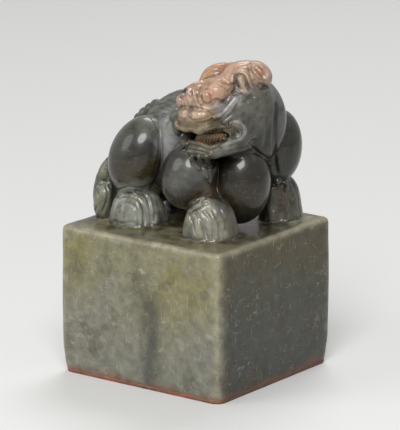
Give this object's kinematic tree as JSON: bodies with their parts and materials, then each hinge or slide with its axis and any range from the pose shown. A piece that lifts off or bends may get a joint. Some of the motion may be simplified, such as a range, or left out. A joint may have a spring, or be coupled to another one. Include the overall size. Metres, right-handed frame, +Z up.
{
  "type": "seal stamp",
  "caption": "Square stone seal stamp whose grip is a crouching lion carved from the same stone, with an engraved spiral stamping face.",
  "frame": {"origin": "centre of the stamping face, where the stamp stands on the table", "axes": "+Z up along the block to the lion; +X the way the lion's chest faces; the lion's head is turned towards -Y"},
  "size_m": [0.0514, 0.049, 0.0826],
  "materials": {
    "block_stone": "polished grey-green soapstone, mottled, with fine scratches and pale veins",
    "face_stone": "ground flat and engraved, stained by red paste",
    "paste": "dry matt vermilion paste",
    "dark_stone": "dark olive-grey soapstone, highly polished",
    "pale_stone": "grey-green soapstone, polished, darker in its grooves",
    "russet_stone": "russet skin of the pebble, polished"
  },
  "bodies": {
    "root": {"seal_block": "block_stone", "seal_face": "face_stone", "paste_residue": "paste", "beard": "dark_stone", "chest": "dark_stone", "crown": "russet_stone", "left_brow": "russet_stone", "left_ear": "russet_stone", "left_ear_lock": "russet_stone", "left_eye": "russet_stone", "left_forepaw": "pale_stone", "left_forepaw_tuft": "pale_stone", "left_haunch": "dark_stone", "left_hindpaw": "pale_stone", "left_hindpaw_tuft": "pale_stone", "left_jowl": "dark_stone", "left_shoulder": "dark_stone", "lower_jaw": "dark_stone", "mane": "dark_stone", "mane_locks": "dark_stone", "muzzle": "russet_stone", "neck": "dark_stone", "nose": "russet_stone", "right_brow": "russet_stone", "right_ear": "russet_stone", "right_ear_lock": "russet_stone", "right_eye": "russet_stone", "right_forepaw": "pale_stone", "right_forepaw_tuft": "pale_stone", "right_haunch": "dark_stone", "right_hindpaw": "pale_stone", "right_hindpaw_tuft": "pale_stone", "right_jowl": "dark_stone", "right_shoulder": "dark_stone", "skull": "dark_stone", "spine": "dark_stone", "tail": "pale_stone", "tail_beads": "pale_stone", "teeth": "russet_stone", "tongue": "russet_stone", "torso": "dark_stone"}
  },
  "joints": []
}
